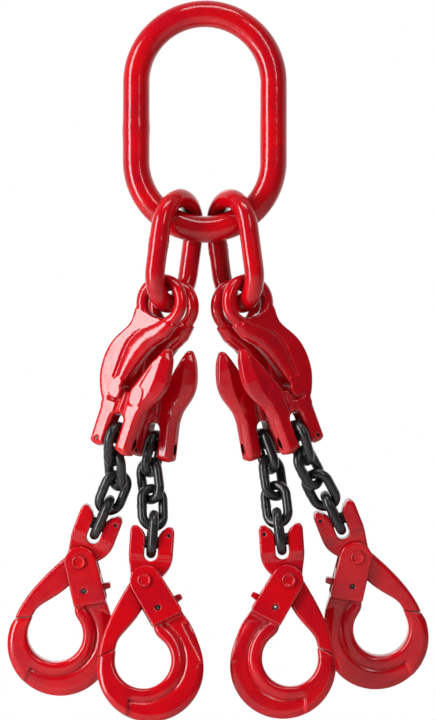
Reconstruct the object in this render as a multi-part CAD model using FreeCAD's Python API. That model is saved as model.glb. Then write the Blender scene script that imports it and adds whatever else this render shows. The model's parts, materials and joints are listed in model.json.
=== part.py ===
import FreeCAD, Part
import math
import os
from FreeCAD import Matrix, Placement, Rotation, Vector

os.makedirs("parts", exist_ok=True)

# Four leg chain sling of forged alloy steel: a master link carries two sub-links, each sub-link
# carries two shortening clutches side by side, and each clutch carries a short chain with a clevis
# self-locking hook. Millimetres. +Z is up, -Y is the front, and the origin is the crown of the
# master link's opening, where the crane hook bears.

# ---- driving sizes -------------------------------------------------------------------------------
running_gap = 0.3            # between two hanging pieces that bear on each other
pin_clearance = 0.05         # radial, between a pin and its bore
link_clearance = 3.3         # round the next chain link, between the feet or ears of a clevis

master_bar = 22.0
master_width = 90.0          # inside
master_length = 154.0        # inside

sub_bar = 16.0
sub_width = 38.0
sub_length = 70.0

chain_bar = 8.0
chain_width = 11.0
chain_pitch = 24.0

load_pin = 10.0              # diameter of every load pin
retaining_pin = 3.0          # diameter of the small pin that stops a load pin from sliding out

clutch_eye = 25.6            # hole of the clutch eye
clutch_eye_bar = 10.4        # round bar of the eye ring
clutch_thick = 16.4          # body of the clutch, front to back
clutch_reach = 117.0         # eye centre down to the load pin
clutch_slot = 10.6           # gap between the two fork legs
clutch_leg = 14.0            # width of one fork leg
throat_width = 9.2           # chain shortening throat
throat_lean = 23.0           # degrees from upright
wing_span = 26.0             # cradle wings at the throat's end, front to back

hook_slot = 10.8             # gap between the ears of the hook's clevis
hook_ears = 36.4             # width over both ears
hook_ear_thick = 17.4
hook_blade = 12.0            # thickness of the neck and arm
hook_slot_depth = 16.3       # load pin centre down to the foot of the slot
bowl_inner = 45.6            # diameter of the bowl's opening
bowl_outer = 86.8            # diameter of the bowl's round outside
bowl_thick = 16.0
flange_thick = 11.0          # outer flange of the bowl, outside the inner rib
rib_width = 10.8             # inner rib of the bowl
cheek_thick = 4.8            # one fork cheek of the bowl
cheek_gap = 12.8             # between the two cheeks
rivet_diameter = 9.0
rivet_ring = 11.6            # raised ring formed by the rivet's head
roll_pin = 4.0
trigger_thick = 11.6
spring_wire = 1.2

# ---- how the sling hangs --------------------------------------------------------------------------
sub_yaw = 60.6               # degrees from the master link's plane
sub_lean = 7.5               # degrees outward
sub_seat = Vector(19.0, -2.5, 14.0 - master_length)    # crown bar centre of the right sub-link
clutch_side = 10.3           # offset of each clutch along the sub-link's lower bend
clutch_drop = sub_length + 9.0           # clutch eye centre below the sub-link's inner crown
clutch_toe = 4.0             # degrees that the two clutches spread

# Legs from left to right: side -1 is left, place -1 is the front clutch of its pair. Degrees:
# swing is the clutch outward, hook is the hook outward and rake is the hook to the back, clear of
# its neighbour. Each link of hangs is swung about the bar that holds it, tilted along that bar and
# twisted from square.
LEGS = {
    "outer_left": dict(side=-1, place=-1, swing=18.3, hook=21.2, rake=3,
                       hangs=((28.5, 0, 0), (-5.8, 1.2, -21.1),
                              (28.5, -0.8, -14.5), (3.7, -3.8, -22.8))),
    "inner_left": dict(side=-1, place=1, swing=9.8, hook=3.8, rake=-12,
                       hangs=((-11.3, 0, 0), (-22.6, 1.6, -16.0),
                              (5.3, -2.5, -20.9), (-11.7, -1.1, -21.0))),
    "inner_right": dict(side=1, place=1, swing=13.5, hook=4.0, rake=-1,
                        hangs=((21.7, 0, 0), (-12.8, 1.0, 18.1),
                               (0.5, 0.8, 21.9), (-7.8, -2.9, 22.4))),
    "outer_right": dict(side=1, place=-1, swing=20.5, hook=21.6, rake=6,
                        hangs=((-7.7, 0, 0), (13.6, 1.0, 20.2),
                               (0.0, -0.1, 21.9), (14.9, 3.3, 17.9))),
}


# ---- small geometry helpers -----------------------------------------------------------------------
def radians(degrees):
    return math.radians(degrees)


def frame(origin, down, normal):
    """Placement whose local -Z runs down and whose local Y is as near to normal as it can be."""
    up = Vector(down).multiply(-1.0).normalize()
    y = Vector(normal) - up * up.dot(Vector(normal))
    y.normalize()
    x = y.cross(up)
    m = Matrix(x.x, y.x, up.x, origin.x, x.y, y.y, up.y, origin.y,
               x.z, y.z, up.z, origin.z, 0, 0, 0, 1)
    return Placement(m)


def turn(placement, vector):
    """Direction of a local vector in the sling's frame."""
    return placement.Rotation.multVec(vector)


def flat(x, z, y=0.0):
    return Vector(x, y, z)


def prism(wire, thick):
    """Solid of a closed wire in the XZ plane, centred on Y = 0."""
    wire = wire.copy()
    wire.translate(Vector(0, -thick / 2, 0))
    return Part.Face(wire).extrude(Vector(0, thick, 0))


def rod(radius, length, x=0.0, z=0.0, y=0.0):
    """Round bar along Y, centred on y."""
    return Part.makeCylinder(radius, length, Vector(x, y - length / 2, z), Vector(0, 1, 0))


def cross_rod(radius, start, end, z=0.0):
    """Round bar along X from start to end."""
    return Part.makeCylinder(radius, end - start, Vector(start, 0, z), Vector(1, 0, 0))


def line(a, b):
    return Part.makeLine(a, b)


def arc(a, b, c):
    return Part.Arc(a, b, c).toShape()


def curve(points, start=None, end=None):
    """Smooth curve through the points, with its end directions where they are given."""
    spline = Part.BSplineCurve()
    if start and end:
        spline.interpolate(Points=points, InitialTangent=start, FinalTangent=end)
    else:
        spline.interpolate(points)
    return spline.toShape()


def outline_edges(solid, thick):
    """Edges of a prism that lie in its front or back face."""
    half = thick / 2
    return [e for e in solid.Edges
            if all(abs(abs(v.Point.y) - half) < 1e-4 for v in e.Vertexes)
            and abs(e.valueAt(e.FirstParameter).y - e.valueAt(e.LastParameter).y) < 1e-4]


def near(point, centre, radius):
    """True where a point lies within radius of a centre, seen from the front."""
    return math.hypot(point.x - centre.x, point.z - centre.z) < radius


# ---- links -----------------------------------------------------------------------------------------
def oblong_link(bar, width, length):
    """Round bar bent to an oblong ring. Local origin: inner crown at the top, ring in the XZ plane."""
    bend = (width + bar) / 2
    straight = length - width
    pieces = []
    for centre, way in ((-width / 2, 1), (-width / 2 - straight, -1)):
        whole = Part.makeTorus(bend, bar / 2, Vector(0, 0, centre), Vector(0, 1, 0))
        box = Part.makeBox(4 * bend, 2 * bar, 2 * bend,
                           Vector(-2 * bend, -bar, centre if way > 0 else centre - 2 * bend))
        pieces.append(whole.common(box))
    for x in (-bend, bend):
        pieces.append(Part.makeCylinder(bar / 2, straight, Vector(x, 0, -width / 2 - straight)))
    return pieces[0].fuse(pieces[1:]).removeSplitter()


def master_link():
    return oblong_link(master_bar, master_width, master_length)


def sub_link():
    return oblong_link(sub_bar, sub_width, sub_length)


def chain_link():
    return oblong_link(chain_bar, chain_width, chain_pitch)


# ---- shortening clutch --------------------------------------------------------------------------
clutch_eye_bend = (clutch_eye + clutch_eye_bar) / 2
clutch_fork_x = -2.3                     # middle of the fork
clutch_foot = clutch_reach + 11.0        # eye centre down to the fork's feet
clutch_arch = clutch_reach - 20.0        # eye centre down to the arch
clutch_left = clutch_fork_x - clutch_slot / 2 - clutch_leg
clutch_right = clutch_fork_x + clutch_slot / 2 + clutch_leg
throat_foot = Vector(-3.5, 0, -74.0)     # centre of the throat's round end
retaining_side = 3.0                     # retaining pin, in from the outside of its leg


def clutch_outline():
    """Bulged back, fork legs, belly, pointed horn and the throat, as seen from the front."""
    foot = 5.0
    up, down = Vector(0, 0, 1), Vector(0, 0, -1)
    back = curve([flat(-19.5, -10), flat(-19.5, -23), flat(-26, -36), flat(-31.5, -51),
                  flat(-32, -66), flat(-28.5, -79), flat(-23.0, -89), flat(clutch_left, -100)],
                 Vector(-0.2, 0, -1), down)
    left_leg = line(flat(clutch_left, -100), flat(clutch_left, -clutch_foot + foot))
    left_foot = curve([flat(clutch_left, -clutch_foot + foot), flat(clutch_left + foot, -clutch_foot)],
                      down, Vector(1, 0, 0))
    sole = line(flat(clutch_left + foot, -clutch_foot), flat(clutch_right - foot, -clutch_foot))
    right_foot = curve([flat(clutch_right - foot, -clutch_foot),
                        flat(clutch_right, -clutch_foot + foot)], Vector(1, 0, 0), up)
    right_leg = line(flat(clutch_right, -clutch_foot + foot), flat(clutch_right, -96))
    belly = curve([flat(clutch_right, -96), flat(19.5, -85), flat(26, -73), flat(29, -61),
                   flat(27.5, -47), flat(24.0, -36)], up, Vector(-0.45, 0, 1))
    point = curve([flat(24.0, -36), flat(21.2, -33.0), flat(17.6, -36.0)],
                  Vector(-0.45, 0, 1), Vector(-0.42, 0, -1))
    across, along = throat_axes()
    half = throat_width / 2
    low_right, low_left = throat_foot + across * half, throat_foot - across * half
    horn = line(flat(17.6, -36.0), low_right)
    end = arc(low_right, throat_foot - along * half, low_left)
    shank = curve([low_left, flat(-3.8, -60), flat(0.5, -48), flat(7, -36), flat(16, -26.5),
                   flat(22.0, -14)], along, Vector(0.1, 0, 1))
    top = line(flat(22.0, -14), flat(-19.5, -10))
    return Part.Wire([back, left_leg, left_foot, sole, right_foot, right_leg, belly, point, horn,
                      end, shank, top])


def throat_axes():
    """Directions across the throat and along it, out of its foot."""
    c, s = math.cos(radians(throat_lean)), math.sin(radians(throat_lean))
    return Vector(c, 0, -s), Vector(s, 0, c)


def clutch_side_outline():
    """Thickness of the clutch from its slim eye down to the full fork, as a closed YZ wire."""
    slim, full = clutch_eye_bar / 2, clutch_thick / 2
    half = [(slim, 30), (slim, -16), (full, -44), (full, -clutch_foot - 5)]
    points = [Vector(-60, y, z) for y, z in half] + [Vector(-60, -y, z) for y, z in half[::-1]]
    return Part.makePolygon(points + points[:1])


def cradle_wings():
    """Rounded lobes that carry the chain link on both sides of the throat, front and back."""
    radius = 5.2
    across, along = throat_axes()
    reach = wing_span - 2 * radius
    lobes = []
    for way in (-1, 1):
        foot = throat_foot + across * (way * (throat_width / 2 + radius)) - along * 1.0
        lobes.append(rod(radius, reach, foot.x, foot.z))
        for end in (-1, 1):
            lobes.append(Part.makeSphere(radius, foot + Vector(0, end * reach / 2, 0)))
    return lobes


def fork_slot():
    """Slot between the fork legs, with a round arch."""
    radius = clutch_slot / 2
    box = Part.makeBox(clutch_slot, 40, clutch_foot,
                       Vector(clutch_fork_x - radius, -20, -clutch_arch - radius - clutch_foot))
    return box.fuse(rod(radius, 40, clutch_fork_x, -clutch_arch - radius))


def link_room(pin_x, pin_z, way):
    """Room for the next chain link's crown past a clevis pin; way is 1 above the pin, -1 below."""
    link_top = chain_pitch - load_pin / 2 - chain_bar - 2 * running_gap
    bend = chain_width / 2 + chain_bar
    return rod(bend + link_clearance, 40, pin_x, pin_z + way * (link_top + bend))


def clutch_body():
    plate = prism(clutch_outline(), 40).common(
        Part.Face(clutch_side_outline()).extrude(Vector(120, 0, 0)))
    plate = plate.makeFillet(1.5, clutch_face_edges(plate))
    ring = Part.makeTorus(clutch_eye_bend, clutch_eye_bar / 2, Vector(0, 0, 0), Vector(0, 1, 0))
    body = plate.fuse([ring] + cradle_wings())
    body = body.cut([rod(clutch_eye / 2, 40), fork_slot(),
                     link_room(clutch_fork_x, -clutch_reach, -1)])
    bore = load_pin / 2 + pin_clearance
    body = body.cut(cross_rod(bore, clutch_left + 3.0, 40, -clutch_reach))
    hole_x = clutch_left + 3.0 + retaining_side
    return body.cut(rod(retaining_pin / 2 + pin_clearance, 40, hole_x, -clutch_reach - load_pin / 2))


def clutch_face_edges(plate):
    """Edges round the front and back faces, without the creases that run across them."""
    edges = []
    for e in plate.Edges:
        a, b = e.valueAt(e.FirstParameter), e.valueAt(e.LastParameter)
        crease = abs(a.z - b.z) < 1e-6 and e.Length > 25
        if a.y * b.y > 0 and not crease:
            edges.append(e)
    return edges


def clutch_load_pin():
    """Plain pin, pushed in from the inner side, with a groove for the retaining pin."""
    pin = cross_rod(load_pin / 2, clutch_left + 3.0 + 0.1, clutch_right - 2.5, -clutch_reach)
    hole_x = clutch_left + 3.0 + retaining_side
    groove = rod(retaining_pin / 2 + pin_clearance, 40, hole_x, -clutch_reach - load_pin / 2)
    return pin.cut(groove)


def clutch_retaining_pin():
    hole_x = clutch_left + 3.0 + retaining_side
    return rod(retaining_pin / 2, clutch_thick - 2.0, hole_x, -clutch_reach - load_pin / 2)


# ---- self-locking hook ----------------------------------------------------------------------------
# Local origin: the load pin's centre. The arm and the bowl's tip are on the -X side.
pivot = Vector(-3.7, 0, -33.4)
cheek_lean = 30.4                        # degrees of the cheeks from upright
bowl_centre = Vector(-0.3, 0, -97.6)
rim_centre = Vector(6.0, 0, -103.3)
roll_pin_along = 24.7                    # down the cheeks from the pivot
cheek_length = 36.5
spring_foot = 33.3                       # spring's lowest turn, just clear of the shank
heel_radius = 11.5                       # round heel of the neck between the cheeks
ear_top = 12.6
joint_outer = Vector(-36.4, 0, -97.0)    # outer end of the joint between the arm and the tip
joint_inner = Vector(-23.1, 0, -89.8)
tip_gap = 0.35


def on_cheek(along, across):
    """Point given down the cheeks from the pivot and across to the back of the hook."""
    c, s = math.cos(radians(cheek_lean)), math.sin(radians(cheek_lean))
    return pivot + Vector(along * s + across * c, 0, -along * c + across * s)


def on_circle(centre, radius, degrees):
    return centre + Vector(radius * math.cos(radians(degrees)), 0, radius * math.sin(radians(degrees)))


def hook_ears_outline():
    half = hook_ears / 2
    inner = hook_slot / 2
    left = [flat(-half, -12.5), flat(-half, 9.0), flat(-half + 2.0, ear_top),
            flat(-inner - 4.8, ear_top), flat(-inner, 5.0)]
    right = [flat(-p.x, p.z) for p in left[::-1]]
    foot = [flat(half - 0.8, -14.5), flat(-half + 1.2, -14.5)]
    return Part.makePolygon(left + right + foot + left[:1])


def hook_neck_outline():
    """Neck from the ears down to the round heel at the pivot."""
    half = hook_ears / 2
    right = curve([flat(half, -11.0), flat(17.2, -17.5), flat(13.4, -25.0), flat(7.0, -31.0)])
    left = curve([flat(-15.2, -33.0), flat(-15.9, -25.0), flat(-17.4, -17.5), flat(-half, -11.0)])
    return Part.Wire([right, line(flat(7.0, -31.0), flat(-15.2, -33.0)), left,
                      line(flat(-half, -11.0), flat(half, -11.0))])


def hook_arm_outline():
    """Long arm that tapers from the heel to the joint with the bowl's tip."""
    outer = curve([joint_outer, flat(-35.4, -86.0), flat(-31.6, -70.6), flat(-24.6, -52.7),
                   flat(-15.2, -33.5)])
    under = curve([flat(-3.9, -55.0), flat(-7.5, -62.0), flat(-15.0, -72.5), flat(-22.0, -83.0),
                   joint_inner])
    root = line(flat(-15.2, -33.5), flat(-3.9, -55.0))
    return Part.Wire([outer, root, under, line(joint_inner, joint_outer)])


def hook_slot_cut():
    radius = hook_slot / 2
    floor = -hook_slot_depth + radius
    box = Part.makeBox(hook_slot, 40, 60, Vector(-radius, -20, floor))
    return box.fuse(rod(radius, 40, 0, floor))


def hook_body():
    ears = prism(hook_ears_outline(), hook_ear_thick)
    ears = ears.makeFillet(2.0, outline_edges(ears, hook_ear_thick))
    neck = prism(hook_neck_outline(), hook_blade)
    arm = prism(hook_arm_outline(), hook_blade)
    long_edges = [e for e in outline_edges(arm, hook_blade) if isinstance(e.Curve, Part.BSplineCurve)]
    arm = arm.makeFillet(2.4, long_edges)
    heel = rod(heel_radius, hook_blade, pivot.x, pivot.z)
    body = ears.fuse([neck, arm, heel]).cut([hook_slot_cut(), link_room(0, 0, 1)])
    bore = load_pin / 2 + pin_clearance
    body = body.cut(cross_rod(bore, -hook_ears / 2 + 3.0, 40))
    body = body.cut(rod(retaining_pin / 2 + pin_clearance, 40, hook_pin_x, load_pin / 2))
    return body.cut(rod(rivet_diameter / 2 + pin_clearance, 40, pivot.x, pivot.z))


hook_pin_x = hook_slot / 2 + 8.4         # retaining pin in the back ear


def hook_load_pin():
    """Load pin and the small retaining pin that crosses it."""
    pin = cross_rod(load_pin / 2, -hook_ears / 2 + 3.1, hook_ears / 2 - 2.0)
    pin = pin.cut(rod(retaining_pin / 2 + pin_clearance, 40, hook_pin_x, load_pin / 2))
    stop = rod(retaining_pin / 2, hook_ear_thick - 2.0, hook_pin_x, load_pin / 2)
    return Part.makeCompound([pin, stop])


def bowl_outline():
    """Shank, round bowl and tip, as seen from the front."""
    inner, rim = bowl_inner / 2, bowl_outer / 2
    up_cheek = (on_cheek(0, 0) - on_cheek(1, 0)).normalize()
    joint = (joint_inner - joint_outer).normalize()
    away = Vector(joint.z, 0, -joint.x) * tip_gap
    tip_in, tip_out = joint_inner + away, joint_outer + away
    lip = line(tip_in, on_circle(bowl_centre, inner, 180))
    hollow = arc(on_circle(bowl_centre, inner, 180), on_circle(bowl_centre, inner, 270),
                 on_circle(bowl_centre, inner, 38))
    shank_in = curve([on_circle(bowl_centre, inner, 38), on_cheek(42, -10.6), on_cheek(34, -10.0)],
                     on_circle(Vector(0, 0, 0), 1, 128), up_cheek)
    top = line(on_cheek(34, -10.0), on_cheek(34, 16.5))
    back = curve([on_cheek(34, 16.5), flat(35.2, -64.0), flat(42.2, -76.5),
                  on_circle(rim_centre, rim, 8)], up_cheek * -1.0, on_circle(Vector(0, 0, 0), 1, -82))
    round_back = arc(on_circle(rim_centre, rim, 8), on_circle(rim_centre, rim, -90),
                     on_circle(rim_centre, rim, 180))
    nose = line(on_circle(rim_centre, rim, 180), tip_out)
    return Part.Wire([lip, hollow, shank_in, top, back, round_back, nose, line(tip_out, tip_in)])


def cheek_outline():
    """Rounded plate over the pivot, tapering to the shank."""
    centre = 0.9
    radius = 13.2
    crown = arc(on_cheek(centre, -radius + centre), on_cheek(centre - radius, centre),
                on_cheek(centre, radius + centre))
    front = line(on_cheek(centre, radius + centre), on_cheek(cheek_length - 4, 17.0))
    corner = arc(on_cheek(cheek_length - 4, 17.0), on_cheek(cheek_length - 1.0, 16.0),
                 on_cheek(cheek_length, 13.0))
    foot = line(on_cheek(cheek_length, 13.0), on_cheek(cheek_length, -10.2))
    rear = line(on_cheek(cheek_length, -10.2), on_cheek(centre, -radius + centre))
    return Part.Wire([crown, front, corner, foot, rear])


def bowl_flange_cuts():
    """Recess on both faces outside the inner rib, from the cheeks round to a notch near the tip."""
    groove = bowl_inner / 2 + rib_width
    depth = (bowl_thick - flange_thick) / 2
    cuts = []
    for way in (-1, 1):
        disc = rod(bowl_outer, depth + 5, rim_centre.x, rim_centre.z,
                   way * (flange_thick / 2 + (depth + 5) / 2))
        keep = rod(groove, 40, bowl_centre.x, bowl_centre.z)
        tip_side = Part.makeBox(80, 40, 200, Vector(-80 - 10.0, -20, -200))
        above = Part.makeBox(200, 40, 200, Vector(-100, -20, on_cheek(cheek_length, 0).z - 4.0))
        cuts.append(disc.cut([keep, tip_side, above]))
    return cuts


def hook_bowl():
    bowl = prism(bowl_outline(), bowl_thick)
    reach = bowl_inner / 2 + rib_width
    hollow_edges = [e for e in outline_edges(bowl, bowl_thick)
                    if all(near(v.Point, bowl_centre, reach) for v in e.Vertexes)]
    bowl = bowl.makeFillet(4.0, hollow_edges)
    bowl = bowl.cut(bowl_flange_cuts())
    cheeks = []
    for way in (-1, 1):
        cheek = prism(cheek_outline(), cheek_thick)
        cheek.translate(Vector(0, way * (cheek_gap + cheek_thick) / 2, 0))
        cheeks.append(cheek)
    bowl = bowl.fuse(cheeks)
    pin_at = on_cheek(roll_pin_along, 0)
    return bowl.cut([rod(rivet_diameter / 2 + pin_clearance, 40, pivot.x, pivot.z),
                     rod(roll_pin / 2 + pin_clearance, 40, pin_at.x, pin_at.z)])


def pivot_rivet():
    """Rivet through the cheeks with a low ring formed in each head."""
    width = cheek_gap + 2 * cheek_thick
    body = rod(rivet_diameter / 2, width, pivot.x, pivot.z)
    heads = []
    for way in (-1, 1):
        ring = Part.makeTorus(rivet_ring / 2 - 1.0, 1.0, pivot + Vector(0, way * (width / 2 + 1.05), 0),
                              Vector(0, 1, 0))
        cap = rod(rivet_ring / 2 - 0.8, 1.0, pivot.x, pivot.z, way * (width / 2 + 0.55))
        heads += [ring, cap]
    joined = body.fuse([rod(rivet_diameter / 2, width + 1.6, pivot.x, pivot.z)] + heads)
    return joined.removeSplitter()


def trigger():
    """Lever on the roll pin: a ring, a thumb nub at the back and a catch beside the heel."""
    pin_at = on_cheek(roll_pin_along, 0)
    ring = rod(5.0, trigger_thick, pin_at.x, pin_at.z)
    shape = Part.makePolygon([on_cheek(28.0, 2.0), on_cheek(27.0, 17.5), on_cheek(26.0, 24.0),
                              on_cheek(22.0, 24.0), on_cheek(20.6, 18.6), on_cheek(8.5, 20.2),
                              on_cheek(9.5, 17.2), on_cheek(17.5, 12.6), on_cheek(20.2, 2.0),
                              on_cheek(28.0, 2.0)])
    lever = prism(shape, trigger_thick - 3.0)
    return ring.fuse(lever).cut(rod(roll_pin / 2 + pin_clearance, 40, pin_at.x, pin_at.z))


def trigger_pin():
    """Rolled spring pin with a slit."""
    pin_at = on_cheek(roll_pin_along, 0)
    width = cheek_gap + 2 * cheek_thick - 0.4
    tube = rod(roll_pin / 2, width, pin_at.x, pin_at.z)
    return tube.cut(rod(roll_pin / 2 - 0.8, 40, pin_at.x, pin_at.z))


def trigger_spring():
    """Coil that pushes the trigger towards its catch; it stands between the lever and the shank."""
    turns = 3
    radius = 1.9
    height = 5.0
    foot = on_cheek(spring_foot, 9.7)
    helix = Part.makeHelix(height / turns, height, radius)
    section = Part.Wire(Part.makeCircle(spring_wire / 2, Vector(radius, 0, 0), Vector(0, 1, 0)))
    coil = Part.Wire(helix).makePipeShell([section], True, True)
    coil.rotate(Vector(0, 0, 0), Vector(0, 1, 0), -cheek_lean)
    coil.translate(foot)
    return coil


# ---- hanging the pieces ------------------------------------------------------------------------
def hang(bar_centre, bar_way, bar_radius, child_radius, down):
    """Bar centre of the child's crown, hung over the parent's bar at bar_centre."""
    way = Vector(bar_way).normalize()
    up = Vector(down).multiply(-1.0)
    up = up - way * up.dot(way)
    up.normalize()
    return bar_centre + up * (bar_radius + child_radius + running_gap)


def bend_points(place, radius, drop, side):
    """Points along a bend of bar in a piece's own XZ plane; side is 1 for an upper bend."""
    angles = [math.pi * k / 48 for k in range(49)]
    return [place.multVec(Vector(radius * math.cos(a), 0, side * radius * math.sin(a) - drop))
            for a in angles]


def straight_points(place, half_length, drop):
    """Points along the middle of a pin that lies along a piece's own X."""
    return [place.multVec(Vector(half_length * k / 24, 0, -drop)) for k in range(-24, 25)]


def settled(place, own_points, held_points, wanted):
    """The placement moved along its hang until its bar is the wanted distance from the holding one."""
    up = turn(place, Vector(0, 0, 1))
    settled_place = Placement(place)
    for _ in range(4):
        nearest = min((a - b).Length for a in own_points(settled_place) for b in held_points)
        settled_place.Base = settled_place.Base + up * (wanted - nearest)
    return settled_place


def lean(side, outward, back):
    """Downward direction that leans outward and backward by the given degrees."""
    o, b = radians(outward), radians(back)
    return Vector(side * math.sin(o) * math.cos(b), math.sin(b), -math.cos(o) * math.cos(b))


def sub_link_frame(side):
    """The sub-link is yawed so that its front leg is the outer one."""
    yaw = radians(sub_yaw)
    front = Vector(side * math.cos(yaw), -math.sin(yaw), 0)
    down = lean(side, sub_lean, 0)
    seat = Vector(side * sub_seat.x, sub_seat.y, sub_seat.z)
    place = frame(seat + down * (sub_bar / 2), down, front.cross(down) * -side)
    return place


def clutch_frame(leg, sub):
    """Eye centre and hang of a clutch on the lower bend of its sub-link."""
    side, place = leg["side"], leg["place"]
    # the sub-link's local +X points to the front for the left one and to the back for the right one
    offset = side * place * clutch_side
    eye = sub.multVec(Vector(offset, 0, -clutch_drop))
    along = turn(sub, Vector(1, 0, 0)) * (1 if offset > 0 else -1)
    level = Vector(along.x, along.y, 0).normalize()
    outward = Vector(-level.y, level.x, 0)
    if outward.x * side < 0:
        outward = outward * -1.0
    toe = radians(clutch_toe)
    straight = level * math.sin(toe) + Vector(0, 0, -math.cos(toe))
    swing = radians(leg["swing"])
    down = straight * math.cos(swing) + outward * math.sin(swing)
    normal = level * math.cos(toe) + Vector(0, 0, math.sin(toe))
    # the horn points to the sling's middle: local +X is inward
    facing = normal if (normal.cross(down * -1.0)).dot(outward) < 0 else normal * -1.0
    held = bend_points(sub, (sub_width + sub_bar) / 2, sub_length - sub_width / 2, -1)
    return settled(frame(eye, down, facing), lambda p: bend_points(p, clutch_eye_bend, 0, 1), held,
                   (sub_bar + clutch_eye_bar) / 2 + running_gap)


def hung_rotation(holder, swing, tilt, twist):
    """Turn of a piece hung on the bar along a holder's own X."""
    about_bar = Rotation(turn(holder, Vector(1, 0, 0)), swing)
    along_bar = Rotation(turn(holder, Vector(0, 1, 0)), tilt)
    return about_bar * along_bar * holder.Rotation * Rotation(Vector(0, 0, 1), 90 + twist)


def chain_frames(leg, clutch):
    """Frames of the four chain links, each hung in the one above."""
    frames = []
    holder, radius = clutch, load_pin / 2
    centre = clutch.multVec(Vector(clutch_fork_x, 0, -clutch_reach))
    held = straight_points(clutch, clutch_slot / 2, clutch_reach)
    bend, half = (chain_width + chain_bar) / 2, chain_width / 2
    for swing, tilt, twist in leg["hangs"]:
        bar_way = turn(holder, Vector(1, 0, 0))
        rotation = hung_rotation(holder, swing, tilt, twist)
        down = rotation.multVec(Vector(0, 0, -1))
        crown = hang(centre, bar_way, radius, chain_bar / 2, down)
        place = settled(Placement(crown + down * (chain_bar / 2), rotation),
                        lambda p: bend_points(p, bend, half, 1), held,
                        radius + chain_bar / 2 + running_gap)
        frames.append((place, centre, bar_way))
        held = bend_points(place, bend, chain_pitch - half, -1)
        centre = place.multVec(Vector(0, 0, -chain_pitch - chain_bar / 2))
        holder, radius = place, chain_bar / 2
    return frames, centre, turn(holder, Vector(1, 0, 0)), held


def hook_frame(leg, centre, bar_way, held):
    side = leg["side"]
    down = lean(side, leg["hook"], leg["rake"])
    pin = hang(centre, bar_way, chain_bar / 2, load_pin / 2, down)
    # local -X, the arm's side, is outward on both sides of the sling
    facing = Vector(0, 1, 0) if side < 0 else Vector(0, -1, 0)
    return settled(frame(pin, down, facing), lambda p: straight_points(p, hook_slot / 2, 0), held,
                   (chain_bar + load_pin) / 2 + running_gap)


def sling_frames():
    """Every piece's placement, and each joint's place and axis."""
    places, joints = {"master_link": Placement()}, {}
    for side, name in ((-1, "sub_link_left"), (1, "sub_link_right")):
        sub = sub_link_frame(side)
        places[name] = sub
        bend = (master_width + master_bar) / 2
        low = Vector(0, 0, -master_length + master_width / 2)
        seat = Vector(side * sub_seat.x, 0, sub_seat.z)
        out = (seat - low).normalize()
        joints[name] = (low + out * bend, Vector(-out.z, 0, out.x))
    for leg_name, leg in LEGS.items():
        side = leg["side"]
        sub = places["sub_link_left" if side < 0 else "sub_link_right"]
        clutch = clutch_frame(leg, sub)
        places[leg_name + "_clutch"] = clutch
        offset = side * leg["place"] * clutch_side
        bend = (sub_width + sub_bar) / 2
        depth = sub_length - sub_width / 2 + math.sqrt(bend ** 2 - clutch_side ** 2)
        joints[leg_name + "_clutch"] = (sub.multVec(Vector(offset, 0, -depth)),
                                        turn(clutch, Vector(0, 1, 0)))
        frames, centre, bar_way, held = chain_frames(leg, clutch)
        for k, (place, at, way) in enumerate(frames):
            places[leg_name + "_chain_%d" % (k + 1)] = place
            joints[leg_name + "_chain_%d" % (k + 1)] = (at, way)
        hook = hook_frame(leg, centre, bar_way, held)
        places[leg_name + "_hook"] = hook
        joints[leg_name + "_hook"] = (hook.Base, turn(hook, Vector(1, 0, 0)))
        joints[leg_name + "_bowl"] = (hook.multVec(pivot), turn(hook, Vector(0, 1, 0)))
        joints[leg_name + "_trigger"] = (hook.multVec(on_cheek(roll_pin_along, 0)),
                                         turn(hook, Vector(0, 1, 0)))
    return places, joints


def main():
    places, joints = sling_frames()
    nodes = {"master_link": (master_link(), "master_link")}
    sub = sub_link()
    for name in ("sub_link_left", "sub_link_right"):
        nodes[name] = (sub, name)
    link = chain_link()
    clutch = {"clutch_body": clutch_body(), "clutch_load_pin": clutch_load_pin(),
              "clutch_retaining_pin": clutch_retaining_pin()}
    hook = {"hook_body": hook_body(), "hook_load_pin": hook_load_pin(), "hook_bowl": hook_bowl(),
            "pivot_rivet": pivot_rivet(), "trigger": trigger(), "trigger_pin": trigger_pin(),
            "trigger_spring": trigger_spring()}
    for leg_name in LEGS:
        for piece, shape in clutch.items():
            nodes[leg_name + "_" + piece] = (shape, leg_name + "_clutch")
        for k in range(4):
            nodes[leg_name + "_chain_link_%d" % (k + 1)] = (link, leg_name + "_chain_%d" % (k + 1))
        for piece, shape in hook.items():
            nodes[leg_name + "_" + piece] = (shape, leg_name + "_hook")
    for name, (shape, place) in nodes.items():
        placed = shape.copy()
        placed.transformShape(places[place].toMatrix())
        placed.exportStep("parts/" + name + ".step")
    return nodes, places, joints


nodes, places, joints = main()
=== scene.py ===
import json
import math
import bmesh
import bpy
import numpy as np
from mathutils import Matrix, Vector


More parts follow.
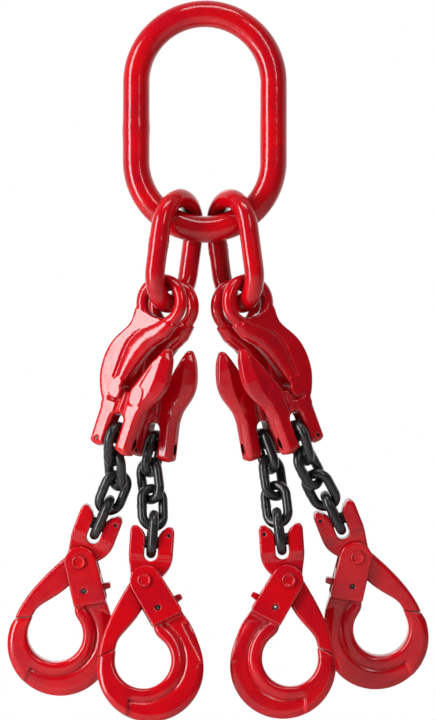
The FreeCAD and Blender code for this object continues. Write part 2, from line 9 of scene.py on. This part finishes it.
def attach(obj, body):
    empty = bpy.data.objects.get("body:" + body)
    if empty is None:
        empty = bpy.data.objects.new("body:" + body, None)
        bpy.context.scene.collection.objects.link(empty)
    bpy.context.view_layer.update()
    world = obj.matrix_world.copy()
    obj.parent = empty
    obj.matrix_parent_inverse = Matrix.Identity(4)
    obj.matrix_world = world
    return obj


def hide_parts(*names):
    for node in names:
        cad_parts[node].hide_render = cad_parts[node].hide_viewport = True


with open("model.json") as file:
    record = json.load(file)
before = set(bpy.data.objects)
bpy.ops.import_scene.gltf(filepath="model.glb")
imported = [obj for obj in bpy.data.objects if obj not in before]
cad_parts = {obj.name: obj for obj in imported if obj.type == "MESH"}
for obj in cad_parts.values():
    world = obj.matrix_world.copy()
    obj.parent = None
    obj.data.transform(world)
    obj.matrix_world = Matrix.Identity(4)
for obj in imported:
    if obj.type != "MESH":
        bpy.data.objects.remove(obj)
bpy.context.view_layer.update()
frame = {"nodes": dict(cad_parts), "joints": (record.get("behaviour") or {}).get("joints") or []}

# ---- camera --------------------------------------------------------------------------------------
# The sling hangs in front of the lens, seen square on from its front face. The lens is long, so
# the near and far legs are all seen at nearly one scale.
view_middle = Vector((0.0108, 0.0, -0.2715))
view_height = 0.5875
camera_distance = 2.6

camera_data = bpy.data.cameras.new("catalogue_camera")
camera_data.sensor_fit = "VERTICAL"
camera_data.sensor_height = 24.0
camera_data.lens = camera_data.sensor_height * camera_distance / view_height
camera = bpy.data.objects.new("catalogue_camera", camera_data)
camera.location = view_middle + Vector((0.0, -camera_distance, 0.0))
camera.rotation_euler = (math.radians(90.0), 0.0, 0.0)
bpy.context.collection.objects.link(camera)
bpy.context.scene.camera = camera
bpy.context.scene.view_settings.view_transform = "Standard"


# ---- studio --------------------------------------------------------------------------------------
# The sling hangs from a crane hook in a white studio, over a pale floor well below the hooks.
# Tall soft boxes stand to the left, to the right and above, as for glossy painted goods.
def soft_box(name, place, aim, size, watts):
    data = bpy.data.lights.new(name, "AREA")
    data.shape = "RECTANGLE"
    data.size, data.size_y = size
    data.energy = watts
    lamp = bpy.data.objects.new(name, data)
    lamp.location = place
    lamp.rotation_euler = (Vector(aim) - Vector(place)).to_track_quat("-Z", "Y").to_euler()
    bpy.context.collection.objects.link(lamp)


def larger(tree, first, second, how="MAXIMUM"):
    sum_up = tree.nodes.new("ShaderNodeMath")
    sum_up.operation = how
    tree.links.new(first, sum_up.inputs[0])
    tree.links.new(second, sum_up.inputs[1])
    return sum_up.outputs[0]


def white_room(world):
    """Plain light on the goods. The eye sees white, and the gloss a room that is darker in front."""
    world.use_nodes = True
    tree = world.node_tree
    tree.nodes.clear()
    room_out = tree.nodes.new("ShaderNodeOutputWorld")
    room_light = tree.nodes.new("ShaderNodeBackground")
    room_light.inputs["Strength"].default_value = 0.20
    room_seen = tree.nodes.new("ShaderNodeBackground")
    for part in (room_light, room_seen):
        part.inputs["Color"].default_value = (1.0, 1.0, 1.0, 1.0)
    rays = tree.nodes.new("ShaderNodeLightPath").outputs
    way = tree.nodes.new("ShaderNodeTexCoord")
    depth = tree.nodes.new("ShaderNodeSeparateXYZ")
    tree.links.new(way.outputs["Generated"], depth.inputs[0])
    darker_front = tree.nodes.new("ShaderNodeMapRange")
    for socket, value in (("From Min", -0.3), ("From Max", 0.8), ("To Min", 0.06), ("To Max", 1.0)):
        darker_front.inputs[socket].default_value = value
    tree.links.new(depth.outputs["Y"], darker_front.inputs["Value"])
    direct = larger(tree, rays["Is Camera Ray"], rays["Is Transmission Ray"])
    in_gloss = larger(tree, rays["Is Glossy Ray"], darker_front.outputs[0], "MULTIPLY")
    tree.links.new(larger(tree, direct, in_gloss), room_seen.inputs["Strength"])
    room_mix = tree.nodes.new("ShaderNodeMixShader")
    tree.links.new(larger(tree, direct, rays["Is Glossy Ray"]), room_mix.inputs[0])
    tree.links.new(room_light.outputs[0], room_mix.inputs[1])
    tree.links.new(room_seen.outputs[0], room_mix.inputs[2])
    tree.links.new(room_mix.outputs[0], room_out.inputs["Surface"])


world = bpy.data.worlds.new("white_studio")
bpy.context.scene.world = world
white_room(world)

soft_box("left_box", (-1.12, -0.72, -0.10), (0.0, 0.0, -0.28), (0.34, 1.5), 20.0)
soft_box("right_box", (0.75, -1.50, 0.55), (0.0, 0.0, -0.30), (0.22, 0.9), 5.0)
soft_box("top_box", (0.10, -0.60, 1.15), (0.0, 0.0, -0.25), (0.9, 0.3), 6.0)
soft_box("back_box", (-0.5, 1.3, 0.5), (0.0, 0.0, -0.25), (1.0, 1.0), 3.0)

floor_mesh = bpy.data.meshes.new("studio_floor")
floor_form = bmesh.new()
bmesh.ops.create_grid(floor_form, x_segments=1, y_segments=1, size=1.6,
                      matrix=Matrix.Translation((0.0, -0.45, -0.78)))
floor_form.to_mesh(floor_mesh)
floor_form.free()
floor = bpy.data.objects.new("studio_floor", floor_mesh)
bpy.context.collection.objects.link(floor)
floor_paint = bpy.data.materials.new("pale_floor")
floor_paint.use_nodes = True
floor_shader = floor_paint.node_tree.nodes["Principled BSDF"]
floor_shader.inputs["Base Color"].default_value = (0.86, 0.86, 0.86, 1.0)
floor_shader.inputs["Roughness"].default_value = 0.7
floor_mesh.materials.append(floor_paint)


# ---- red paint -----------------------------------------------------------------------------------
# The forgings are shot-blasted and dipped or sprayed in thick gloss red. The paint keeps a faint
# ripple, and painted shade darkens its red in corners, creases and between parts.
def link_up(tree, *pairs):
    for source, target in pairs:
        tree.links.new(source, target)


def grain(tree, scale, detail, roughness=0.5):
    """Noise fixed to the piece's own place in the frame."""
    place = tree.nodes.new("ShaderNodeTexCoord")
    noise = tree.nodes.new("ShaderNodeTexNoise")
    noise.inputs["Scale"].default_value = scale
    noise.inputs["Detail"].default_value = detail
    noise.inputs["Roughness"].default_value = roughness
    tree.links.new(place.outputs["Object"], noise.inputs["Vector"])
    return noise.outputs["Fac"]


def stepped(tree, value, stops):
    """Colour ramp of (place, colour) stops over a 0 to 1 value."""
    ramp = tree.nodes.new("ShaderNodeValToRGB")
    bands = ramp.color_ramp.elements
    while len(bands) < len(stops):
        bands.new(0.5)
    for band, (place, colour) in zip(bands, stops):
        band.position, band.color = place, (*colour, 1.0)
    tree.links.new(value, ramp.inputs["Fac"])
    return ramp.outputs["Color"]


def blended(tree, how, amount, first, second):
    mix = tree.nodes.new("ShaderNodeMix")
    mix.data_type, mix.blend_type = "RGBA", how
    mix.inputs["Factor"].default_value = amount
    link_up(tree, (first, mix.inputs["A"]), (second, mix.inputs["B"]))
    return mix.outputs["Result"]


def raised(tree, height, strength, distance, under=None):
    bump = tree.nodes.new("ShaderNodeBump")
    bump.inputs["Strength"].default_value = strength
    bump.inputs["Distance"].default_value = distance
    tree.links.new(height, bump.inputs["Height"])
    if under is not None:
        tree.links.new(under, bump.inputs["Normal"])
    return bump.outputs["Normal"]


def gloss_paint(name, deep, middle, bright, ripple):
    """Thick gloss enamel with slow ripple and fine orange peel over a forged skin."""
    paint = bpy.data.materials.new(name)
    paint.use_nodes = True
    tree = paint.node_tree
    shader = tree.nodes["Principled BSDF"]
    clouds = stepped(tree, grain(tree, 38.0, 3.0), ((0.30, deep), (0.55, middle), (0.80, bright)))
    # Painted shade: the base colour is darkened wherever ambient occlusion finds other surfaces close
    # by, in corners, creases and between parts.
    corners = tree.nodes.new("ShaderNodeAmbientOcclusion")
    corners.inputs["Distance"].default_value = 0.012
    shade = stepped(tree, corners.outputs["AO"], ((0.20, (0.40, 0.30, 0.34)), (0.75, (1.0, 1.0, 1.0))))
    colour = blended(tree, "MULTIPLY", 1.0, clouds, shade)
    peel = raised(tree, grain(tree, 620.0, 2.0), 0.10, 0.0004)
    waves = raised(tree, grain(tree, 85.0, 3.0, 0.55), ripple, 0.0016, peel)
    gloss = stepped(tree, grain(tree, 140.0, 4.0), ((0.30, (0.12,) * 3), (0.75, (0.22,) * 3)))
    link_up(tree, (colour, shader.inputs["Base Color"]), (gloss, shader.inputs["Roughness"]),
            (waves, shader.inputs["Normal"]))
    shader.inputs["Specular IOR Level"].default_value = 0.40
    shader.inputs["Coat Weight"].default_value = 0.35
    shader.inputs["Coat Roughness"].default_value = 0.07
    shader.inputs["Coat IOR"].default_value = 1.5
    return paint


red_paint = gloss_paint("gloss_red_paint", (0.46, 0.0002, 0.009), (0.58, 0.0002, 0.006),
                        (0.68, 0.0002, 0.003), 0.22)


# ---- master link ---------------------------------------------------------------------------------
# The oblong ring that goes on the crane hook: 22 mm round alloy bar bent to shape, flash welded in
# one straight side, dressed smooth and painted.
def hang_of(node):
    """Middle and own axes of a ring that hangs: across, through its thickness and along it."""
    skin = frame["nodes"][node].data
    skin.calc_loop_triangles()
    weights, places = [], []
    for face in skin.loop_triangles:
        corners = [skin.vertices[v].co for v in face.vertices]
        weights.append(face.area)
        places.append(sum(corners, Vector()) / 3)
    weights, places = np.array(weights), np.array(places)
    middle = (places * weights[:, None]).sum(0) / weights.sum()
    spread = ((places - middle) * weights[:, None]).T @ (places - middle)
    axes = np.linalg.eigh(spread)[1]
    through, across, along = (Vector(axes[:, k]) for k in range(3))
    along = along if along.z > 0 else -along
    through = through if through.y > 0 else -through
    across = through.cross(along)
    hang = Matrix((across, through, along)).transposed().to_4x4()
    hang.translation = Vector(middle)
    return hang


def ring_path(inner_width, inner_length, bar, steps):
    """Places round the middle of an oblong ring's bar, and the outward direction at each."""
    straight_cuts = 28
    bend = (inner_width + bar) / 2
    straight = (inner_length - inner_width) / 2
    turns = [math.pi * k / steps for k in range(steps + 1)]
    rounds = [(Vector((math.cos(t), 0, math.sin(t))), straight) for t in turns]
    rounds += [(Vector((-math.cos(t), 0, -math.sin(t))), -straight) for t in turns]
    path = [(out * bend + Vector((0, 0, lift)), out) for out, lift in rounds]
    full = []
    for (place, out), (after, out_after) in zip(path, path[1:] + path[:1]):
        full.append((place, out))
        if (after - place).length > bar:
            full += [(place.lerp(after, k / straight_cuts), out) for k in range(1, straight_cuts)]
    return full


def bar_ring(name, inner_width, inner_length, bar, weld, steps=40, sides=32):
    """Oblong ring with a weld's low swelling and its two fine flash lines on one straight side."""
    form = bmesh.new()
    rows = []
    for place, out in ring_path(inner_width, inner_length, bar, steps):
        swell = 0.0
        if place.x < 0 and weld["height"] > 0:
            away = (place.z - weld["at"]) / weld["half"]
            swell = weld["height"] * math.exp(-away ** 2 * 2.0)
            swell -= weld["nick"] * math.exp(-(away * 5.0) ** 2)
        radius = bar / 2 + swell
        row = []
        for k in range(sides):
            turn = 2 * math.pi * k / sides
            outward, through = radius * math.cos(turn), radius * math.sin(turn)
            row.append(form.verts.new(place + out * outward + Vector((0, through, 0))))
        rows.append(row)
    for row, after in zip(rows, rows[1:] + rows[:1]):
        for k in range(sides):
            form.faces.new((row[k], row[(k + 1) % sides], after[(k + 1) % sides], after[k]))
    bmesh.ops.recalc_face_normals(form, faces=form.faces)
    mesh = bpy.data.meshes.new(name)
    form.to_mesh(mesh)
    form.free()
    mesh.shade_smooth()
    return mesh


def stand_in(name, mesh, node, body, paint):
    """The finished piece, put in the place of the CAD node that it shows."""
    piece = bpy.data.objects.new(name, mesh)
    bpy.context.collection.objects.link(piece)
    mesh.materials.clear()
    mesh.materials.append(paint)
    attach(piece, body)
    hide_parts(node)


master_ring = bar_ring("master_link_ring", 0.090, 0.154, 0.022,
                       {"at": -0.006, "half": 0.009, "height": 0.00035, "nick": 0.0}, 64, 48)
master_ring.transform(hang_of("master_link"))
stand_in("master_link_ring", master_ring, "master_link", "master", red_paint)


# ---- sub-links -----------------------------------------------------------------------------------
# Two oblong links of 16 mm bar hang side by side in the master link, each welded in its back leg,
# and each carries two clutches.
for side in ("left", "right"):
    node = "sub_link_" + side
    sub_ring = bar_ring(node + "_ring", 0.038, 0.070, 0.016,
                        {"at": 0.004, "half": 0.006, "height": 0.0006, "nick": 0.0004}, 48, 40)
    sub_ring.transform(hang_of(node))
    stand_in(node + "_ring", sub_ring, node, "sub_" + side, red_paint)


# ---- chain ---------------------------------------------------------------------------------------
# Four legs of short 8 mm alloy chain, coated black and lightly oiled. Each link is a bent bar with
# its butt weld in one side, where the flash leaves a low collar with a fine seam.
def black_coat():
    paint = bpy.data.materials.new("black_chain_coat")
    paint.use_nodes = True
    tree = paint.node_tree
    shader = tree.nodes["Principled BSDF"]
    clouds = stepped(tree, grain(tree, 120.0, 5.0), ((0.30, (0.006, 0.006, 0.007)),
                                                    (0.60, (0.014, 0.014, 0.015)),
                                                    (0.85, (0.030, 0.029, 0.028))))
    gloss = stepped(tree, grain(tree, 260.0, 4.0), ((0.25, (0.24,) * 3), (0.80, (0.42,) * 3)))
    scale = raised(tree, grain(tree, 900.0, 3.0), 0.18, 0.0003)
    dents = raised(tree, grain(tree, 210.0, 2.0), 0.16, 0.0008, scale)
    link_up(tree, (clouds, shader.inputs["Base Color"]), (gloss, shader.inputs["Roughness"]),
            (dents, shader.inputs["Normal"]))
    shader.inputs["Coat Weight"].default_value = 0.35
    shader.inputs["Coat Roughness"].default_value = 0.16
    return paint


LEGS = ("outer_left", "inner_left", "inner_right", "outer_right")
black_chain = black_coat()
for leg in LEGS:
    for k in range(1, 5):
        node = "%s_chain_link_%d" % (leg, k)
        chain_ring = bar_ring(node + "_ring", 0.011, 0.024, 0.008,
                              {"at": 0.0005, "half": 0.0022, "height": 0.0004, "nick": 0.0003}, 28, 28)
        chain_ring.transform(hang_of(node))
        stand_in(node + "_ring", chain_ring, node, "%s_chain_%d" % (leg, k), black_chain)


# ---- shortening clutches -------------------------------------------------------------------------
# Each is one drop forging: a round eye whose bar sweeps down as the shank, a flat strip down the
# back, a pointed horn, and two pads either side of the slanted throat that a chain link is laid in.
def even_skin(mesh, grid, rounds):
    """The closed mesh remade in even small faces, with its edges worn round."""
    blank = bpy.data.objects.new("blank", mesh)
    bpy.context.collection.objects.link(blank)
    skin = blank.modifiers.new("even_skin", "REMESH")
    skin.mode, skin.voxel_size = "VOXEL", grid
    radii = blank.modifiers.new("die_radii", "SMOOTH")
    radii.factor, radii.iterations = 0.5, rounds
    finished = bpy.data.meshes.new_from_object(
        blank.evaluated_get(bpy.context.evaluated_depsgraph_get()))
    bpy.data.objects.remove(blank)
    finished.shade_smooth()
    return finished


def forged(node, grid, rounds):
    """Mesh of a node's solid with its edges worn round, as a die and thick paint leave them."""
    form = bmesh.new()
    form.from_mesh(frame["nodes"][node].data)
    bmesh.ops.remove_doubles(form, verts=form.verts, dist=1e-6)
    mesh = bpy.data.meshes.new(node + "_blank")
    form.to_mesh(mesh)
    form.free()
    finished = even_skin(mesh, grid, rounds)
    finished.name = node + "_forging"
    return finished


def joint_of(name):
    return next(j for j in frame["joints"] if j["name"] == name)


def own_place(leg, across_joint, through_joint, load_pin):
    """A forging's own frame: X across it to the sling's middle, Y through it and Z up its hang."""
    pin = joint_of(leg + across_joint)
    across = Vector(pin["axis"])
    across = -across if across.x * pin["pos_m"][0] > 0 else across
    through = Vector(joint_of(leg + through_joint)["axis"])
    up = across.cross(through)
    if up.z < 0:
        through, up = -through, -up
    place = Matrix((across, through, up)).transposed()
    corner = Vector(pin["pos_m"]) - place @ Vector(load_pin)
    place = place.to_4x4()
    place.translation = corner
    return place


def near_line(x, z, line):
    """Distance from a bent line, the side of its run (1 is left), and the line's values there."""
    nearest = np.full(x.shape, 1e9)
    side, values = np.ones(x.shape), np.zeros(x.shape + (len(line[0]),))
    for start, end in zip(line, line[1:]):
        run = np.subtract(end[:2], start[:2])
        part = np.clip(((x - start[0]) * run[0] + (z - start[1]) * run[1]) / (run @ run), 0, 1)
        away = np.hypot(x - start[0] - part * run[0], z - start[1] - part * run[1])
        closer = away < nearest
        nearest = np.where(closer, away, nearest)
        turn = run[0] * (z - start[1]) - run[1] * (x - start[0])
        side = np.where(closer, np.where(turn > 0, 1.0, -1.0), side)
        here = np.add(start, np.subtract(end, start) * part[..., None])
        values = np.where(closer[..., None], here, values)
    return nearest, side, np.moveaxis(values, -1, 0)


def eased(value, width):
    part = np.clip(value / width + 0.5, 0, 1)
    return part * part * (3 - 2 * part)


def round_bar(x, z, line, left_foot=None):
    """Half thickness of a bar of changing half width, crest and foot along a line."""
    away, side, (_, _, width, crest, foot) = near_line(x, z, line)
    if left_foot is not None:
        foot = np.where(side < 0, np.minimum(left_foot, crest), foot)
    arch = np.sqrt(np.clip(1 - (away / width) ** 2, 0, 1))
    return np.where(away < width, foot + (crest - foot) * arch, 0.0)


SHANK = ((17.8, 5, 5.6, 5.2, 0), (17.4, -4, 5.9, 5.4, 0), (15.0, -12.5, 6.2, 6.0, 0),
         (9.3, -22, 7.8, 7.0, 0.5), (0.0, -30.8, 8.8, 7.5, 1.5), (-4.8, -38.2, 9.4, 7.8, 2.5),
         (-7.8, -44.5, 9.2, 7.9, 3.0), (-9.7, -52, 8.2, 7.9, 3.4), (-11, -61, 7.4, 7.9, 3.4),
         (-12, -72, 6.6, 7.9, 3.4))


STRIP_RIM = ((17, -7), (10, -13.5), (2.5, -19.5), (-6.5, -25.5), (-11.8, -31.5), (-15.2, -39),
             (-16.6, -48), (-17.0, -60), (-17.4, -72), (-17.6, -84), (-15, -88.5), (15, -88.5))
OUTER_EDGE = ((20.5, -32.5, 2.5), (24, -36, 4), (27.5, -47, 8.5), (29, -61, 10.5),
              (26, -73, 8.5), (19.5, -85, 5.5), (17, -96, 4), (17, -129, 4))
HORN_LIP = ((6.6, -80, 6.0, 10.4, 6), (5.4, -70, 4.4, 9.4, 6), (8.6, -59, 3.4, 8.9, 7),
            (13.2, -46, 2.8, 8.2, 6), (18.2, -38, 2.0, 6.0, 4))
THROAT_PADS = ((-12.6, -77.8, 6.8, 9.6, 11.2), (8.0, -78.4, 6.8, 9.2, 11.4))
fork_half, eye_half, eye_radius = 8.2, 5.2, 18.0


def plate_half(z):
    """Half thickness of the flat strip, which thickens from the eye down to the throat."""
    return np.interp(z, (-44, -16), (fork_half, eye_half))


def shank_and_strip(x, z):
    """The round shank, with the flat strip beyond its rim."""
    plate, least = plate_half(z), 4.6
    shank = round_bar(x, z, SHANK, plate - np.interp(z, (-60, -25), (3.2, 1.6)))
    shank = np.where((z < -36) & (shank < least), least, shank)
    rim, side, _ = near_line(x, z, STRIP_RIM)
    flat = eased(-rim * side, 1.6)
    return shank * (1 - flat) + np.maximum(plate, shank) * flat


def with_horn(x, z, face, side_bevel):
    """The horn across the throat, with a lip along its inner edge and a thin point."""
    lip = round_bar(x, z, HORN_LIP)
    horn = np.maximum(np.minimum(side_bevel, 7.8), lip) * np.interp(z, (-48, -41, -33), (1, 0.9, 0.45))
    on_horn = eased((x + 3.5) * 0.92 - (z + 74) * 0.39 - 2.0, 1.5) * eased(z + 90.0, 4.0)
    return np.minimum(face, side_bevel) * (1 - on_horn) + horn * on_horn


def with_throat(x, z, face):
    """The raised pads on both sides of the throat, and two grooves below it."""
    pad_foot = 4.5
    for middle_x, middle_z, reach_x, reach_z, top in THROAT_PADS:
        spread = np.abs((x - middle_x) / reach_x) ** 2.6 + np.abs((z - middle_z) / reach_z) ** 2.6
        pad = pad_foot + (top - pad_foot) * np.clip(1 - spread, 0, 1) ** 0.45
        face = np.where(spread < 1, np.maximum(face, pad), face)
    in_groove = eased(-74 - z, 3) * eased(z + 101, 2)
    for groove_x, depth in ((-5.4, 1.8), (0.6, 2.2)):
        face = face - in_groove * depth * np.exp(-((x - groove_x) / 1.2) ** 2)
    return face


def with_fork(x, z, face):
    """The fork, hollowed round its slot and rounded off at its side and end."""
    slot = np.where(z < -102.3, np.abs(x + 2.3), np.hypot(x + 2.3, z + 102.3)) - 5.3
    face = np.where(z < -80, np.minimum(face, 5.8 + 1.1 * np.clip(slot, 0, 9)), face)
    face = np.where(z < -96, np.minimum(face, fork_half - 0.8 * np.clip(-19.4 - x, 0, 9)), face)
    return np.minimum(face, fork_half - 0.5 * np.clip(-123 - z, 0, 9) ** 1.3)


def clutch_thickness(x, z):
    """Half thickness of the finished clutch at places on its face, in millimetres."""
    edge, _, (_, _, bevel) = near_line(x, z, OUTER_EDGE)
    side_bevel = fork_half - 4.6 * np.clip(1 - edge / bevel, 0, 1) ** 1.15
    face = with_horn(x, z, shank_and_strip(x, z), side_bevel)
    return with_fork(x, z, with_throat(x, z, face))


def pressed(mesh, place, faces, grid, rounds):
    """The piece's solid pressed in its own frame, in millimetres, to its faces, then worn round."""
    mesh.transform(place.inverted())
    places = np.empty(len(mesh.vertices) * 3)
    mesh.vertices.foreach_get("co", places)
    points = faces(places.reshape(-1, 3) * 1000.0)
    mesh.vertices.foreach_set("co", (points / 1000.0).ravel())
    finished = even_skin(mesh, grid, rounds)
    finished.transform(place)
    return finished


thinnest = 0.4


def press(y, stock, wanted):
    """Depths scaled from the stock's half thickness to the wanted one."""
    stock = np.maximum(stock, thinnest)
    return np.clip(y, -stock, stock) * wanted / stock


def clutch_faces(points):
    """The clutch's eye and faces, with the plate's edge by the eye drawn in to the round shank."""
    x, y, z = points.T.copy()
    ring = np.sqrt(np.clip(eye_half ** 2 - (np.hypot(x, z) - eye_radius) ** 2, 0, None))
    on_plate = z < -14.0 + (x - 22.0) * (4.0 / -41.5)
    stock = np.where(on_plate, np.maximum(ring, plate_half(z)), ring)
    wanted = np.maximum(ring, np.where(on_plate, clutch_thickness(x, z), 0))
    points[:, 1] = press(y, stock, np.where(stock > thinnest, wanted, thinnest))
    away, side, (middle_x, middle_z, width, _, _) = near_line(x, z, SHANK)
    width = width * 0.94
    outside = (side > 0) & (away > width) & (z > -30) & (z < -9)
    pull = np.where(outside, width / np.maximum(away, 1e-6), 1.0)
    points[:, 0] = middle_x + (x - middle_x) * pull
    points[:, 2] = middle_z + (z - middle_z) * pull
    return points


for leg in LEGS:
    node = leg + "_clutch_body"
    place = own_place(leg, "_chain_1_swing", "_clutch_swing", (-0.0023, 0, -0.117))
    body = pressed(forged(node, 0.0008, 0), place, clutch_faces, 0.0007, 3)
    stand_in(node + "_forging", body, node, leg + "_clutch", red_paint)


# ---- pins ----------------------------------------------------------------------------------------
# Turned steel load pins with rolled retaining pins across them, pushed in after painting, so their
# ends stay dark bare steel.
def bare_steel():
    steel = bpy.data.materials.new("dark_pin_steel")
    steel.use_nodes = True
    tree = steel.node_tree
    shader = tree.nodes["Principled BSDF"]
    tint = stepped(tree, grain(tree, 300.0, 4.0), ((0.3, (0.010, 0.009, 0.009)),
                                                   (0.8, (0.035, 0.032, 0.031))))
    gloss = stepped(tree, grain(tree, 700.0, 3.0), ((0.3, (0.28,) * 3), (0.8, (0.50,) * 3)))
    turned = raised(tree, grain(tree, 1500.0, 2.0), 0.12, 0.0002)
    link_up(tree, (tint, shader.inputs["Base Color"]), (gloss, shader.inputs["Roughness"]),
            (turned, shader.inputs["Normal"]))
    shader.inputs["Metallic"].default_value = 0.4
    return steel


pin_steel = bare_steel()


def dressed(node, material):
    """A CAD node shown as it is, in its finish."""
    skin = frame["nodes"][node].data
    skin.materials.clear()
    skin.materials.append(material)


for leg in LEGS:
    for pin in ("clutch_load_pin", "clutch_retaining_pin", "hook_load_pin", "trigger_pin",
                "trigger_spring"):
        dressed(leg + "_" + pin, pin_steel)


# ---- self-locking hooks --------------------------------------------------------------------------
# A clevis body with a long arm, and a bowl that swings on a rivet and shuts against the arm's tip.
# Both are drop forgings: the bowl has a round inner rib with a thinner flange outside it.
rivet_x, rivet_z = -3.7, -33.4
lean_sin, lean_cos = 0.506, 0.8625


def hook_faces(points):
    """The clevis ears run softly down into the thinner neck."""
    x, y, z = points.T
    ear_half, neck_half = 8.7, 6.0
    stock = np.where(z > -14.5, ear_half, neck_half)
    wanted = neck_half + (ear_half - neck_half) * eased(z + 14.0, 9.0)
    wanted = np.where(np.hypot(x - rivet_x, z - rivet_z) < 12.0, neck_half, wanted)
    points[:, 1] = press(y, stock, wanted)
    return points


def from_rivet(x, z):
    """Distances down and across the bowl's leaning cheeks, from the rivet."""
    right, up = x - rivet_x, z - rivet_z
    return lean_sin * right - lean_cos * up, lean_cos * right + lean_sin * up


def bowl_faces(points):
    """A full round rib along the hollow, a soft groove outside it and a flange that thins outward."""
    x, y, z = points.T
    down, across = from_rivet(x, z)
    on_shank = down > 37.5
    from_hollow = np.hypot(x + 0.3, z + 97.6)
    from_edge = 43.4 - np.hypot(x - 6.0, z + 103.3)
    from_edge = np.where(z > -97, np.minimum(np.maximum(from_edge, 16.5 - across), 12), from_edge)
    recess = (from_hollow > 33.6) & (x > -10) & (z < -64.9)
    bowl_half = 8.0
    stock = np.where(recess, 5.5, bowl_half)
    outer = np.clip(from_edge / 7.0, 0, 1)
    flange = 3.6 + 2.3 * np.sin(outer * math.pi / 2)
    flange = flange - 1.3 * np.exp(-((from_hollow - 34.4) / 1.1) ** 2)
    rib = bowl_half - 2.0 * np.clip((from_hollow - 27.5) / 6.3, 0, 1) ** 2
    tip = bowl_half - 3.0 * (1 - np.sin(np.clip(from_edge / 6.0, 0, 1) * math.pi / 2))
    to_tip = eased(-8.0 - x, 8.0)
    plain = np.where(recess, flange, rib)
    wanted = plain * (1 - to_tip) + np.minimum(tip, np.where(recess, flange, tip)) * to_tip
    points[:, 1] = np.where(on_shank, press(y, stock, wanted), y)
    return points


def trigger_faces(points):
    """Only the thumb nub and the catch's end stand out past the cheeks."""
    x, _, z = points.T
    down, across = from_rivet(x, z)
    catch = np.minimum(across, 15.4 + 2.2 * np.exp(-((down - 9.3) / 1.6) ** 2))
    nub = np.where(across > 17.0, 17.0 + (across - 17.0) * 0.72, across)
    across = np.where(down < 21.3, catch, nub)
    points[:, 0] = rivet_x + lean_sin * down + lean_cos * across
    points[:, 2] = rivet_z - lean_cos * down + lean_sin * across
    return points


for leg in LEGS:
    place = own_place(leg, "_hook_swing", "_bowl_open", (0, 0, 0))
    for piece, body, faces, grid, rounds in (("hook_body", "_hook", hook_faces, 0.0007, 4),
                                             ("hook_bowl", "_bowl", bowl_faces, 0.0007, 4),
                                             ("trigger", "_trigger", trigger_faces, 0.0004, 3)):
        node = leg + "_" + piece
        skin = pressed(forged(node, grid, 1), place, faces, grid, rounds)
        stand_in(node + "_forging", skin, node, leg + body, red_paint)
    node = leg + "_pivot_rivet"
    stand_in(node + "_head", forged(node, 0.0003, 2), node, leg + "_bowl", red_paint)
